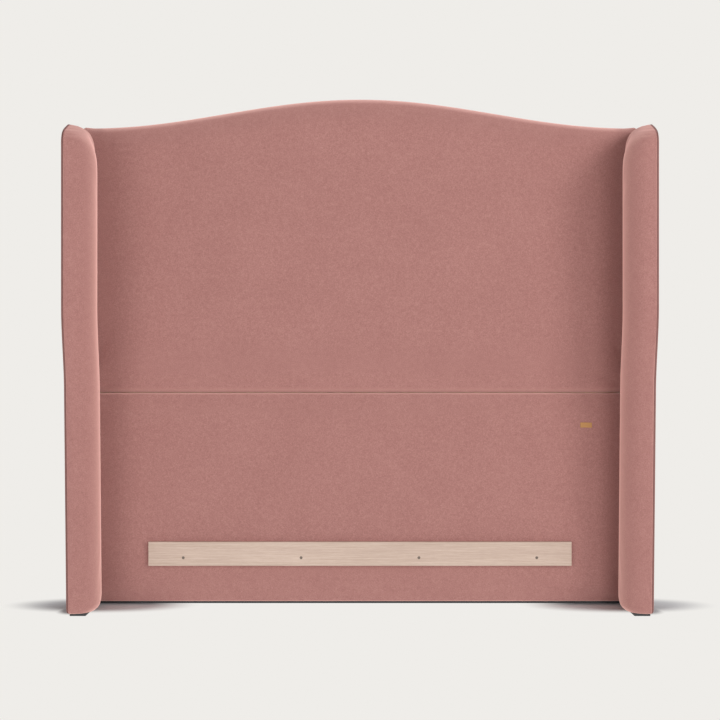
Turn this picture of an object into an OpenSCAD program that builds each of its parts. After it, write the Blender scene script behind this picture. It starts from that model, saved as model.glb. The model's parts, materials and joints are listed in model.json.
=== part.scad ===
// Floor-standing winged headboard: an upholstered arched panel between two padded side wings,
// with a timber batten low on the front for the bed base.
// The front faces -Y, the floor is z = 0, and the origin is the middle of the footprint.

/* [Overall] */
// Height of the arch's crown above the floor
crown_h = 1400; // [1100:1:1700]
// Rise of the arch from its shoulders to its crown
arch_rise = 80; // [0:1:200]
// Clear width between the wings' padding, where it is thickest
clear_w = 1386; // [900:1:2000]
// Height of the seam between the upper and the lower panel
seam_h = 585; // [450:1:750]

/* [Panel] */
// Thickness of the velvet covers
cover_t = 1.5; // [1:0.1:3]
// Foam behind the two covers
foam_t = 26; // [15:1:50]
// Foam over the panel's top edge
edge_foam_t = 8; // [4:1:15]
// Thickness of the two facing boards
board_t = 9; // [5:1:18]
// Thickness of the softwood frame, front to back
rail_t = 42; // [30:1:60]
// Thickness of the black lining on the back
lining_t = 1.5; // [1:0.1:3]
// Gap between the two covers at the seam
seam_gap = 0.6; // [0:0.1:2]
// Width of the covers' turned edge, which frames the lining on the back
turn_in = 9.5; // [6:0.5:20]
// Gap between that edge and the lining
lining_gap = 0.5; // [0.2:0.1:2]
// Level run of the top edge at each end of the arch
shoulder_flat = 18; // [0:1:60]

/* [Frame] */
// Width of each upright stile
stile_w = 45; // [35:1:70]
// Width of the centre posts
post_w = 45; // [30:1:70]
// Height of the middle rail, which carries the seam
mid_rail_h = 90; // [60:1:140]
// Height of the bottom rail
bottom_rail_h = 60; // [40:1:80]
// Least height of the arched top rail, at its ends
top_rail_h = 85; // [60:1:120]

/* [Wings] */
// Reach of the wings in front of the panel, along their upper part
reach_top = 240; // [160:1:320]
// Reach at the seam's height, where the S-curve ends
reach_mid = 204; // [130:1:280]
// Reach at the floor
reach_foot = 178; // [110:1:260]
// Height of the S-curve between the two reaches
bend_h = 230; // [120:1:300]
// How far the wing's back top corner lies below the panel's shoulder
wing_drop_back = 8; // [0:1:40]
// How far the wing's top falls from its back to the start of the nose
wing_fall = 11; // [0:1:30]
// Depth of the sloping nose, from the tip to the front edge
nose_len = 100; // [60:1:150]
// How far the nose falls along its slope
nose_slope = 38; // [15:1:70]
// How far it falls further where it turns upright at the front edge
nose_turn = 28; // [10:1:50]
// Height over which the padding thins towards the wing's top edge
crest_h = 130; // [60:1:200]
// Radius of the padding round the wing's front inner edge
bulge_r = 60; // [30:1:70]
// How much thinner the padding is in the crease, where the wing meets the panel
crease_thin = 34; // [0:1:35]
// Rounding of the padding's inner edge at the floor
foot_r = 25; // [5:1:40]
// Thickness of the wing's plywood board
wing_board_t = 18; // [12:1:25]
// Foam on the wing's inner face, where it is thickest
wing_foam_t = 55; // [55:1:75]
// Width of the post along the wing's back edge, which the bolts hold
wing_post_w = 20; // [18:1:20]
// Depth of that post
wing_post_d = 45; // [42:1:80]
// Foam over the board's front and top edges
wing_edge_foam_t = 15; // [8:1:25]
// Wadding under the outer side cover
wadding_t = 6; // [2:0.5:10]
// How far the side cover's edge stays inside the seam round it
side_seam_inset = 1; // [0.5:0.5:5]
// Radius of the wing's back top corner
back_corner_r = 9; // [8:1:30]

/* [Batten] */
// Length of the fixing batten
batten_l = 1160; // [600:1:1380]
// Height of the batten's face
batten_h = 65; // [40:1:90]
// Thickness of the batten
batten_t = 20; // [12:1:35]
// Height of the batten's lower edge above the floor
batten_z = 111; // [80:1:200]
// Spacing of the batten's screws
batten_screw_pitch = 323; // [150:1:400]
// Height of the screws above the batten's lower edge
batten_screw_rise = 22; // [12:1:40]

/* [Base] */
// Thickness of the black base strips, which is also the gap under the covers
strip_t = 7; // [4:1:15]
// Width of the strip under the panel, front to back
strip_w = 58; // [30:1:70]
// Width of the strips under the wings
wing_strip_w = 42; // [25:1:46]
// How far the wings' strips stay back from their front edges
wing_strip_inset = 15; // [8:1:40]

/* [Tag] */
// Width of the blank sewn tag
tag_w = 32; // [20:1:60]
// Height of the tag
tag_h = 14; // [8:1:30]
// Distance of the tag's middle from the nearer wing
tag_inset = 71; // [40:1:200]
// Distance of the tag's middle below the seam
tag_drop = 89; // [40:1:200]

/* [Fasteners] */
// Nominal diameter of the bolts that hold the wings
wing_bolt_d = 8; // [6:1:10]
// How far those bolts reach into the wings
wing_bolt_reach = 36; // [25:1:40]
// Outer diameter of the threaded inserts that take them
insert_d = 12; // [10:0.5:14]
// Length of the inserts
insert_l = 18; // [12:1:24]
// Diameter of the batten screws
batten_screw_d = 5; // [4:0.5:6]
// Length of the batten screws
batten_screw_l = 80; // [60:1:100]
// Diameter of the screws that join rails to stiles
frame_screw_d = 6; // [4:0.5:8]
// Length of those screws
frame_screw_l = 100; // [80:1:140]
// Diameter of the screws that hold the base strips
strip_screw_d = 4; // [3:0.5:5]
// Length of the base strip screws
strip_screw_l = 25; // [20:1:35]
// Radial gap round a shaft in its hole
shaft_gap = 0.05; // [0.02:0.01:0.2]

/* [Hidden] */

velvet = [0.71, 0.50, 0.48];
foam_yellow = [0.93, 0.88, 0.70];
softwood = [0.85, 0.72, 0.52];
plywood = [0.80, 0.66, 0.46];
pale_oak = [0.84, 0.74, 0.67];
black = [0.08, 0.08, 0.09];
zinc = [0.62, 0.63, 0.65];
mustard = [0.77, 0.58, 0.38];

eps = 0.01;
fine = 48;

// Layers of the panel, front to back. y grows towards the back.
panel_t = cover_t + foam_t + board_t + rail_t + lining_t;
back_y = (reach_top + panel_t) / 2;
face_y = back_y - panel_t;
board_y = face_y + cover_t + foam_t;
rail_y = board_y + board_t;
lining_y = rail_y + rail_t;
rail_mid_y = rail_y + rail_t / 2;

// Layers of a wing, from its inner face outwards. The panel is as wide as the wings' boards.
wing_in_x = clear_w / 2;
board_in_x = wing_in_x + cover_t + wing_foam_t;
board_out_x = board_in_x + wing_board_t;
side_cover_x = board_out_x + wadding_t;
side_face_x = side_cover_x + cover_t;
panel_x = board_out_x;
stile_out_x = panel_x - cover_t;
stile_in_x = stile_out_x - stile_w;

// Heights
shoulder_h = crown_h - arch_rise;
wood_z = strip_t + cover_t;
upper_z = seam_h + seam_gap / 2;
lower_z = seam_h - seam_gap / 2;
frame_top_inset = cover_t + edge_foam_t;
stile_top_z = shoulder_h - frame_top_inset;
top_rail_z = stile_top_z - top_rail_h;
mid_rail_z = seam_h - mid_rail_h / 2;
batten_mid_z = batten_z + batten_h / 2;
batten_rail_h = batten_h + 25;
batten_rail_z = batten_mid_z - batten_rail_h / 2;
wing_top_back = shoulder_h - wing_drop_back;
wing_top_front = wing_top_back - wing_fall;
nose_z = wing_top_front - nose_slope - nose_turn;
crest_z = wing_top_front - crest_h;
bend_top_z = seam_h + bend_h;

arch_half_w = panel_x - shoulder_flat;
arch_steps = 20;
bend_steps = 10;
nose_steps = 12;
corner_steps = 4;
crest_steps = 12;
crest_power = 2.3;
bulge_steps = 8;
bulge_lead = 4;
bulge_flat = 15;
prism_margin = 90;

// Wing bolts, from the back through the panel into the wing's post
wing_bolt_x = board_in_x - wing_post_w / 2;
wing_bolt_heights = [wood_z + 290, seam_h + 175, crest_z - 60];
wing_bolt_head_d = 1.6 * wing_bolt_d;
wing_bolt_head_h = 0.55 * wing_bolt_d;
washer_d = 2 * wing_bolt_d;
washer_t = 1.6;
bolt_play = 0.25;
sink_d = washer_d + 4;
sink_depth = washer_t + wing_bolt_head_h + 2;
seat_y = lining_y - sink_depth;
wing_packer_w = 28;
wing_packer_h = 60;

batten_screw_head_d = 8;
frame_screw_head_d = 10.5;
strip_screw_head_d = 7;
strip_screw_sink = 0.5;
screw_end_inset = 0.28;
batten_packer_inset = 5;
tag_t = 1.2;
board_inset = cover_t + wing_edge_foam_t;

lining_inset = turn_in + lining_gap;
staple_crown = 10;
staple_leg = 8;
staple_wire = 1.2;
staple_wire_t = 0.6;
staple_pitch = 130;
staple_inset = 6;

function smooth(t) = t * t * (3 - 2 * t);

// The arch is a raised cosine from the shoulders to the crown, taken at even stations from the
// middle outwards, so that pieces of every width follow the same line
arch_line = [for (i = [0 : arch_steps])
    let (x = panel_x * i / arch_steps)
        [x, shoulder_h + arch_rise / 2 * (1 + cos(180 * min(x / arch_half_w, 1)))]];

function arch_z(x) = lookup(abs(x), arch_line);

// Reach of a wing's front edge at height z
function reach(z) =
    z >= bend_top_z ? reach_top
    : z >= seam_h ? reach_mid + (reach_top - reach_mid) * smooth((z - seam_h) / bend_h)
    : reach_foot + (reach_mid - reach_foot) * (z - strip_t) / (seam_h - strip_t);

// Side outline of a wing as [y, z] points, inset by e along the front, the top and the back, and by
// e_foot at the floor. It runs up the front, over the nose and down the back against the panel.
function wing_outline(e, e_foot) = concat(
    [for (z = [strip_t + e_foot, (strip_t + seam_h) / 2]) [face_y - reach(z) + e, z]],
    [for (i = [0 : bend_steps]) let (z = seam_h + bend_h * i / bend_steps) [face_y - reach(z) + e, z]],
    [for (i = [0 : nose_steps]) let (t = 1 - pow(i / nose_steps, 2)) [
        face_y - reach_top + nose_len - (nose_len - e) * t,
        wing_top_front - e - nose_slope * pow(t, 1.1) - nose_turn * (1 - sqrt(1 - pow(t, 8)))
    ]],
    [for (i = [0 : corner_steps])
        let (a = 90 - 90 * i / corner_steps, r = max(back_corner_r - e, 1)) [
            face_y - e - r + r * cos(a),
            wing_top_back - e - r + r * sin(a)
    ]],
    [[face_y - e, strip_t + e_foot]]
);

// Front outline of a wing's padding as [x, z] points: a rounded foot, an upright inner face, then a
// crest that curves outwards to the seam along the wing's outer edge. out_x is the outer limit.
function wing_front_outline(e, e_foot, out_x) = concat(
    [[out_x, strip_t + e_foot]],
    [for (i = [0 : corner_steps]) let (a = 90 * i / corner_steps) [
        wing_in_x + foot_r - (foot_r - e) * sin(a),
        strip_t + foot_r - (foot_r - e_foot) * cos(a)
    ]],
    [for (i = [0 : crest_steps]) let (a = 90 * i / crest_steps, top = wing_top_back - e) [
        board_out_x - (board_out_x - wing_in_x - e) * pow(cos(a), 2 / crest_power),
        crest_z + (top - crest_z) * pow(sin(a), 2 / crest_power)
    ]],
    [[out_x, wing_top_back - e]]
);

// Plan of a wing's padding as [x, distance behind the front edge] points: round the front inner
// edge to its thickest, then a straight slope back towards the crease at the panel
function wing_plan(e) = let (
    from = bulge_r + bulge_flat,
    to = reach_top + panel_t,
    x0 = wing_in_x + e,
    x1 = x0 + crease_thin * (to - from) / (reach_top - from)
) concat(
    [for (i = [0 : bulge_steps]) let (a = 90 * i / bulge_steps) [
        wing_in_x + bulge_r - (bulge_r - e) * sin(a),
        bulge_r - bulge_lead - (bulge_r - e) * cos(a)
    ]],
    [[x0, from], [x1, to], [board_out_x + wadding_t, to], [board_out_x + wadding_t, e - bulge_lead]]
);

// That plan carried from height z0 up to z1, leaning so that it follows the front edge
module wing_prism(e, z0, z1) {
    lean = atan((reach(z1) - reach(z0)) / (z1 - z0));
    intersection() {
        translate([0, face_y - reach(z0), z0]) rotate([lean, 0, 0]) translate([0, 0, -prism_margin])
            linear_extrude(height = z1 - z0 + 2 * prism_margin)
                polygon([for (p = wing_plan(e)) [p[0], p[1] * cos(lean)]]);
        box(wing_in_x - 1, board_out_x + wadding_t + 1, face_y - reach_top - 20, face_y + 1, z0, z1);
    }
}

// Front outline of the panel from height z0 up to the arch, inset by e at the top, half width w
module arch_outline(w, z0, e) {
    stations = [for (i = [-arch_steps : arch_steps]) panel_x * i / arch_steps];
    xs = concat([-w], [for (x = stations) if (abs(x) < w - eps) x], [w]);
    polygon(concat([[-w, z0]], [for (x = xs) [x, arch_z(x) - e]], [[w, z0]]));
}

// Stands a front outline up and gives it depth from y0 to y1
module stand(y0, y1) {
    translate([0, y1, 0]) rotate([90, 0, 0]) linear_extrude(height = y1 - y0) children();
}

// Stands a side outline up and gives it width from x0 to x1
module side_slab(x0, x1, points) {
    translate([x0, 0, 0]) rotate([90, 0, 90]) linear_extrude(height = x1 - x0) polygon(points);
}

module box(x0, x1, y0, y1, z0, z1) {
    translate([x0, y0, z0]) cube([x1 - x0, y1 - y0, z1 - z0]);
}

module mirror_x(flip) {
    mirror([flip ? 1 : 0, 0, 0]) children();
}

module both_sides() {
    for (flip = [false, true])
        mirror_x(flip) children();
}

// Rod along +Y from y0 to y1
module rod_y(y0, y1, d) {
    translate([0, y0, 0]) rotate([-90, 0, 0]) cylinder(h = y1 - y0, d = d, $fn = fine);
}

// Countersunk screw pointing along +Z with its head's flat face at z = 0
module countersunk(d, head_d, length) {
    head_h = (head_d - d) / 2;
    cylinder(h = head_h, d1 = head_d, d2 = d, $fn = fine);
    translate([0, 0, head_h - eps]) cylinder(h = length - head_h + eps, d = d, $fn = fine);
}

// The hole for such a screw, open in front of its head
module screw_hole(d, head_d, length) {
    countersunk(d + 2 * shaft_gap, head_d + 2 * shaft_gap, length + shaft_gap);
    translate([0, 0, -1]) cylinder(h = 1 + eps, d = head_d + 2 * shaft_gap, $fn = fine);
}

// Cross recess in a screw head at z = 0
module cross_recess(head_d) {
    recess = 0.55 * head_d;
    slot = 0.14 * head_d;
    depth = 0.22 * head_d;
    for (turn = [0, 90])
        rotate([0, 0, turn]) translate([-recess / 2, -slot / 2, -eps]) cube([recess, slot, depth]);
}

module screw_body(d, head_d, length) {
    difference() {
        countersunk(d, head_d, length);
        cross_recess(head_d);
    }
}

// ---- Places where fasteners go, each a module that puts its children there ----

module at_batten_screws() {
    for (i = [-1.5 : 1 : 1.5])
        translate([i * batten_screw_pitch, face_y - batten_t, batten_z + batten_screw_rise])
            rotate([-90, 0, 0]) children();
}

module batten_screw_holes() {
    at_batten_screws() screw_hole(batten_screw_d, batten_screw_head_d, batten_screw_l);
}

// Two screws through a stile into each end of a rail
module at_rail_end(side, rail_z, rail_h) {
    for (z = [rail_z + screw_end_inset * rail_h, rail_z + (1 - screw_end_inset) * rail_h])
        translate([side * stile_out_x, rail_mid_y, z]) rotate([0, -side * 90, 0]) children();
}

module at_frame_screws(side) {
    at_rail_end(side, wood_z, bottom_rail_h) children();
    at_rail_end(side, batten_rail_z, batten_rail_h) children();
    at_rail_end(side, mid_rail_z, mid_rail_h) children();
    at_rail_end(side, top_rail_z, top_rail_h) children();
}

module frame_screw_hole() {
    screw_hole(frame_screw_d, frame_screw_head_d, frame_screw_l);
}

module at_panel_strip_screws() {
    for (i = [-2 : 2])
        translate([i * clear_w / 5, rail_mid_y, strip_screw_sink]) children();
}

module at_wing_strip_screws() {
    for (y = [face_y - reach_foot + 50, face_y - 40])
        translate([board_in_x + wing_board_t / 2, y, strip_screw_sink]) children();
}

module strip_screw_hole() {
    screw_hole(strip_screw_d, strip_screw_head_d, strip_screw_l);
}

// On the right-hand side; both_sides() gives the left-hand ones too
module at_wing_bolts() {
    for (z = wing_bolt_heights)
        translate([wing_bolt_x, 0, z]) children();
}

module wing_bolt_holes() {
    both_sides() at_wing_bolts() rod_y(face_y - wing_bolt_reach - 1, back_y, wing_bolt_d + 2 * bolt_play);
}

// Staples round the lining: along the bottom rail, along the arch and up both stiles.
// A staple's crown lies along X at the lining's face and its legs point into the wood.
module at_staples() {
    inset = lining_inset + staple_inset;
    x_count = floor((stile_in_x - staple_pitch / 2) / staple_pitch);
    z_count = floor((stile_top_z - 2 * staple_pitch) / staple_pitch);
    for (i = [-x_count : x_count]) {
        x = i * staple_pitch;
        translate([x, back_y, strip_t + inset]) children();
        translate([x, back_y, arch_z(x) - inset]) children();
    }
    for (side = [-1, 1])
        for (i = [0 : z_count])
            translate([side * (panel_x - inset), back_y, staple_pitch * (i + 0.75)])
                rotate([0, 90, 0]) children();
}

// gap widens the staple into its slot
module staple(gap) {
    w = staple_crown + 2 * gap;
    t = staple_wire + 2 * gap;
    translate([-w / 2, -staple_wire_t - gap, -t / 2]) cube([w, staple_wire_t + gap + (gap > 0 ? 1 : 0), t]);
    for (side = [-1, 1])
        translate([side * (staple_crown - staple_wire) / 2 - t / 2, -staple_leg - gap, -t / 2])
            cube([t, staple_leg + gap - eps, t]);
}

module staple_holes() {
    at_staples() staple(shaft_gap);
}

// ---- Frame ----

module stile(side) {
    color(softwood) difference() {
        mirror_x(side < 0) box(stile_in_x, stile_out_x, rail_y, lining_y, wood_z, stile_top_z);
        wing_bolt_holes();
        both_sides() at_wing_bolts() rod_y(seat_y, back_y, sink_d);
        at_frame_screws(side) frame_screw_hole();
        staple_holes();
    }
}

module left_stile() { stile(-1); }
module right_stile() { stile(1); }

module rail_holes(z, h) {
    for (side = [-1, 1])
        at_rail_end(side, z, h) frame_screw_hole();
}

module plain_rail(z, h) {
    difference() {
        box(-stile_in_x, stile_in_x, rail_y, lining_y, z, z + h);
        rail_holes(z, h);
    }
}

module top_rail() {
    color(softwood) difference() {
        stand(rail_y, lining_y) arch_outline(stile_in_x, top_rail_z, frame_top_inset);
        rail_holes(top_rail_z, top_rail_h);
        staple_holes();
    }
}

module mid_rail() {
    color(softwood) plain_rail(mid_rail_z, mid_rail_h);
}

module batten_rail() {
    color(softwood) difference() {
        plain_rail(batten_rail_z, batten_rail_h);
        batten_screw_holes();
    }
}

module bottom_rail() {
    color(softwood) difference() {
        plain_rail(wood_z, bottom_rail_h);
        at_panel_strip_screws() strip_screw_hole();
        staple_holes();
    }
}

module centre_post(z0, z1) {
    color(softwood) box(-post_w / 2, post_w / 2, rail_y, lining_y, z0, z1);
}

module upper_post() { centre_post(mid_rail_z + mid_rail_h, top_rail_z); }
module lower_post() { centre_post(batten_rail_z + batten_rail_h, mid_rail_z); }

module frame_screws() {
    color(zinc) for (side = [-1, 1])
        at_frame_screws(side) screw_body(frame_screw_d, frame_screw_head_d, frame_screw_l);
}

// ---- Facing boards, packers and foam ----

module upper_board() {
    color(plywood) difference() {
        stand(board_y, rail_y) arch_outline(stile_out_x, upper_z + cover_t, frame_top_inset);
        wing_bolt_holes();
    }
}

module lower_board() {
    color(plywood) difference() {
        box(-stile_out_x, stile_out_x, board_y, rail_y, wood_z, lower_z - cover_t);
        batten_screw_holes();
        wing_bolt_holes();
    }
}

// The packers' room is cut out of the foam; their own solids fill it
module batten_packer_block() {
    box(-batten_l / 2 + batten_packer_inset, batten_l / 2 - batten_packer_inset, face_y + cover_t, board_y,
        batten_z + batten_packer_inset, batten_z + batten_h - batten_packer_inset);
}

module wing_packer_blocks() {
    at_wing_bolts()
        box(-wing_packer_w / 2, wing_packer_w / 2, face_y + cover_t, board_y,
            -wing_packer_h / 2, wing_packer_h / 2);
}

module batten_packer() {
    color(plywood) difference() {
        batten_packer_block();
        batten_screw_holes();
    }
}

module wing_packers() {
    difference() {
        wing_packer_blocks();
        wing_bolt_holes();
    }
}

module upper_foam() {
    color(foam_yellow) difference() {
        stand(face_y + cover_t, lining_y) arch_outline(stile_out_x, upper_z + cover_t, cover_t);
        stand(board_y, back_y) arch_outline(stile_out_x + 1, 0, frame_top_inset);
        both_sides() wing_packer_blocks();
    }
}

module lower_foam() {
    color(foam_yellow) difference() {
        box(-stile_out_x, stile_out_x, face_y + cover_t, board_y, wood_z, lower_z - cover_t);
        batten_packer_block();
        both_sides() wing_packer_blocks();
    }
}

// ---- Panel covers: open behind, with a turned edge round the back and a tuck between the boards ----

module upper_cover() {
    color(velvet) difference() {
        stand(face_y, back_y) arch_outline(panel_x, upper_z, 0);
        stand(face_y + cover_t, rail_y) arch_outline(stile_out_x, upper_z + cover_t, cover_t);
        stand(rail_y - eps, lining_y) arch_outline(stile_out_x, 0, cover_t);
        stand(lining_y - eps, back_y + 1) arch_outline(panel_x - turn_in, 0, turn_in);
        wing_bolt_holes();
    }
}

module lower_cover() {
    color(velvet) difference() {
        box(-panel_x, panel_x, face_y, back_y, strip_t, lower_z);
        box(-stile_out_x, stile_out_x, face_y + cover_t, rail_y, wood_z, lower_z - cover_t);
        box(-stile_out_x, stile_out_x, rail_y - eps, lining_y, wood_z, crown_h);
        box(-panel_x + turn_in, panel_x - turn_in, lining_y - eps, back_y + 1, strip_t + turn_in, crown_h);
        wing_bolt_holes();
        batten_screw_holes();
        at_panel_strip_screws() strip_screw_hole();
    }
}

module back_lining() {
    color(black) difference() {
        stand(lining_y, back_y) arch_outline(panel_x - lining_inset, strip_t + lining_inset, lining_inset);
        both_sides() at_wing_bolts() rod_y(seat_y, back_y + 1, sink_d);
        staple_holes();
    }
}

module lining_staples() {
    color(zinc) at_staples() staple(0);
}

// ---- Batten, tag and base ----

module fixing_batten() {
    color(pale_oak) difference() {
        box(-batten_l / 2, batten_l / 2, face_y - batten_t, face_y, batten_z, batten_z + batten_h);
        batten_screw_holes();
    }
}

module batten_screws() {
    color(zinc) at_batten_screws() screw_body(batten_screw_d, batten_screw_head_d, batten_screw_l);
}

module blank_tag() {
    tag_x = wing_in_x - tag_inset;
    tag_z = seam_h - tag_drop;
    color(mustard)
        box(tag_x - tag_w / 2, tag_x + tag_w / 2, face_y - tag_t, face_y,
            tag_z - tag_h / 2, tag_z + tag_h / 2);
}

module base_strip() {
    half_l = panel_x - wing_strip_inset;
    color(black) difference() {
        box(-half_l, half_l, rail_mid_y - strip_w / 2, rail_mid_y + strip_w / 2 - 9, 0, strip_t);
        at_panel_strip_screws() strip_screw_hole();
    }
}

module wing_strip() {
    difference() {
        box(board_out_x - 2 - wing_strip_w, board_out_x - 2,
            face_y - reach_foot + wing_strip_inset, face_y - 8, 0, strip_t);
        at_wing_strip_screws() strip_screw_hole();
    }
}

module strip_screws() {
    color(zinc) {
        at_panel_strip_screws() screw_body(strip_screw_d, strip_screw_head_d, strip_screw_l);
        both_sides() at_wing_strip_screws() screw_body(strip_screw_d, strip_screw_head_d, strip_screw_l);
    }
}

// ---- Wings, drawn on the right and mirrored for the left ----

// A wing's padded shape, inset by e and by e_foot at the floor, out to out_x
module wing_padding(e, e_foot, out_x) {
    intersection() {
        union() {
            wing_prism(e, strip_t, seam_h);
            wing_prism(e, seam_h, bend_top_z);
            wing_prism(e, bend_top_z, crown_h);
        }
        side_slab(wing_in_x - 1, out_x, wing_outline(e, e_foot));
        stand(face_y - reach_top - 1, face_y + 1) polygon(wing_front_outline(e, e_foot, out_x));
    }
}

module wing_board() {
    difference() {
        side_slab(board_in_x, board_out_x, wing_board_outline());
        at_wing_strip_screws() strip_screw_hole();
    }
}

// The board stands back from the cover by the edge foam, but reaches the wing's back and foot
function wing_board_outline() = [
    for (p = wing_outline(board_inset, cover_t))
        [p[0] > face_y - board_inset - eps ? face_y - cover_t : p[0], p[1]]
];

module wing_post_block() {
    box(board_in_x - wing_post_w, board_in_x, face_y - cover_t - wing_post_d, face_y - cover_t,
        wood_z, crest_z - 5);
}

module insert_rods() {
    at_wing_bolts() rod_y(face_y - cover_t - insert_l, face_y - cover_t, insert_d);
}

module wing_post() {
    difference() {
        wing_post_block();
        wing_bolt_holes();
        insert_rods();
    }
}

module wing_inserts() {
    difference() {
        insert_rods();
        at_wing_bolts() rod_y(face_y - wing_bolt_reach, face_y, wing_bolt_d + 2 * shaft_gap);
    }
}

module wing_foam() {
    difference() {
        wing_padding(cover_t, cover_t, board_out_x);
        side_slab(board_in_x, board_out_x + 1, wing_board_outline());
        wing_post_block();
    }
}

module wing_cover() {
    difference() {
        wing_padding(0, 0, board_out_x);
        wing_padding(cover_t, cover_t, board_out_x + 1);
        wing_bolt_holes();
        at_wing_strip_screws() strip_screw_hole();
    }
}

// The side cover is boxed over its wadding, which reaches out from the board
module wing_wadding() {
    inset = side_seam_inset + cover_t;
    side_slab(board_out_x, side_cover_x, wing_outline(inset, inset));
}

module wing_side_cover() {
    inset = side_seam_inset + cover_t;
    difference() {
        side_slab(board_out_x, side_face_x, wing_outline(side_seam_inset, side_seam_inset));
        side_slab(board_out_x - 1, side_cover_x, wing_outline(inset, inset));
    }
}

// A hexagon-socket bolt whose head sinks into the stile's back
module wing_bolts() {
    head_y = seat_y + washer_t;
    at_wing_bolts() difference() {
        union() {
            rod_y(head_y, head_y + wing_bolt_head_h, wing_bolt_head_d);
            rod_y(face_y - wing_bolt_reach, head_y + eps, wing_bolt_d);
        }
        translate([0, head_y + 0.4 * wing_bolt_head_h, 0]) rotate([-90, 0, 0])
            cylinder(h = wing_bolt_head_h, d = 0.72 * wing_bolt_d, $fn = 6);
    }
}

module wing_washers() {
    at_wing_bolts() difference() {
        rod_y(seat_y, seat_y + washer_t, washer_d);
        rod_y(seat_y - 1, seat_y + washer_t + 1, wing_bolt_d + 2 * bolt_play);
    }
}

module left_wing_board() { color(plywood) mirror_x(true) wing_board(); }
module right_wing_board() { color(plywood) mirror_x(false) wing_board(); }
module left_wing_foam() { color(foam_yellow) mirror_x(true) wing_foam(); }
module right_wing_foam() { color(foam_yellow) mirror_x(false) wing_foam(); }
module left_wing_cover() { color(velvet) mirror_x(true) wing_cover(); }
module right_wing_cover() { color(velvet) mirror_x(false) wing_cover(); }
module left_wing_wadding() { color(foam_yellow) mirror_x(true) wing_wadding(); }
module right_wing_wadding() { color(foam_yellow) mirror_x(false) wing_wadding(); }
module left_wing_side_cover() { color(velvet) mirror_x(true) wing_side_cover(); }
module right_wing_side_cover() { color(velvet) mirror_x(false) wing_side_cover(); }
module left_wing_bolts() { color(zinc) mirror_x(true) wing_bolts(); }
module right_wing_bolts() { color(zinc) mirror_x(false) wing_bolts(); }
module left_wing_washers() { color(zinc) mirror_x(true) wing_washers(); }
module right_wing_washers() { color(zinc) mirror_x(false) wing_washers(); }
module left_wing_inserts() { color(zinc) mirror_x(true) wing_inserts(); }
module right_wing_inserts() { color(zinc) mirror_x(false) wing_inserts(); }
module left_wing_post() { color(softwood) mirror_x(true) wing_post(); }
module right_wing_post() { color(softwood) mirror_x(false) wing_post(); }
module left_wing_packers() { color(plywood) mirror_x(true) wing_packers(); }
module right_wing_packers() { color(plywood) mirror_x(false) wing_packers(); }
module left_wing_strip() { color(black) mirror_x(true) wing_strip(); }
module right_wing_strip() { color(black) mirror_x(false) wing_strip(); }

left_stile();
right_stile();
top_rail();
mid_rail();
batten_rail();
bottom_rail();
upper_post();
lower_post();
upper_board();
lower_board();
upper_foam();
lower_foam();
batten_packer();
left_wing_packers();
right_wing_packers();
upper_cover();
lower_cover();
back_lining();
lining_staples();
base_strip();
strip_screws();
fixing_batten();
batten_screws();
blank_tag();
frame_screws();
left_wing_board();
right_wing_board();
left_wing_post();
right_wing_post();
left_wing_foam();
right_wing_foam();
left_wing_cover();
right_wing_cover();
left_wing_wadding();
right_wing_wadding();
left_wing_side_cover();
right_wing_side_cover();
left_wing_bolts();
right_wing_bolts();
left_wing_washers();
right_wing_washers();
left_wing_inserts();
right_wing_inserts();
left_wing_strip();
right_wing_strip();
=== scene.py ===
import bpy
import bmesh
import json
import math
import numpy as np
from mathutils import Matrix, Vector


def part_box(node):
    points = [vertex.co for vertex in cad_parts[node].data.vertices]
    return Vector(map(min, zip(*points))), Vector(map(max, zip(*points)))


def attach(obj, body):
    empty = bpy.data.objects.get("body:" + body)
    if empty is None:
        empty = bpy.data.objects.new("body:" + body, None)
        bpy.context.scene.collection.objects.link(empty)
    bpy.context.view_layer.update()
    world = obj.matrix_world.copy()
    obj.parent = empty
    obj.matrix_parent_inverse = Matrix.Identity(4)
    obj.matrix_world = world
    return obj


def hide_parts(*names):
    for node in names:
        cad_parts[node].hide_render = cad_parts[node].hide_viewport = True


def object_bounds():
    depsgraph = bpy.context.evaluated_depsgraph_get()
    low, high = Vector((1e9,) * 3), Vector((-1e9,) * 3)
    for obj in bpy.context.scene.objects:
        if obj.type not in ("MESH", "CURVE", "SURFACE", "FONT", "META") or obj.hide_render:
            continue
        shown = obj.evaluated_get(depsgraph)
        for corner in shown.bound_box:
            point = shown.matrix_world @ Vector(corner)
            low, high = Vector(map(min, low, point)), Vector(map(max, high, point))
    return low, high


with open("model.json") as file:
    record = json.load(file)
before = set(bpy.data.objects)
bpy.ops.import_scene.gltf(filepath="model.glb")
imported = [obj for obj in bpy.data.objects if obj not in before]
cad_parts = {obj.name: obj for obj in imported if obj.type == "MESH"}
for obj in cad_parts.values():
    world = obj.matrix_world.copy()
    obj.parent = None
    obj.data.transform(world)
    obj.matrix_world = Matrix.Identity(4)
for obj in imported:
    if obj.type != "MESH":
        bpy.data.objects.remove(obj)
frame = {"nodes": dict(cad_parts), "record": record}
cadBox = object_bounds()
mm = 0.001
root = "root"
sides = {"left": -1, "right": 1}


def corners(node):
    low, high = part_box(node)
    return np.array(low), np.array(high)


upperLow, upperHigh = corners("upper_cover")
lowerLow, lowerHigh = corners("lower_cover")
wingLow, wingHigh = corners("right_wing_cover")
sideLow, sideHigh = corners("right_wing_side_cover")
faceY = upperLow[1]  # the panel's front
backY = upperHigh[1]
panelX = upperHigh[0]
seamZ = (upperLow[2] + lowerHigh[2]) / 2
floorGap = lowerLow[2]


def smooth(t):
    t = np.clip(t, 0, 1)
    return t * t * (3 - 2 * t)


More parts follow.
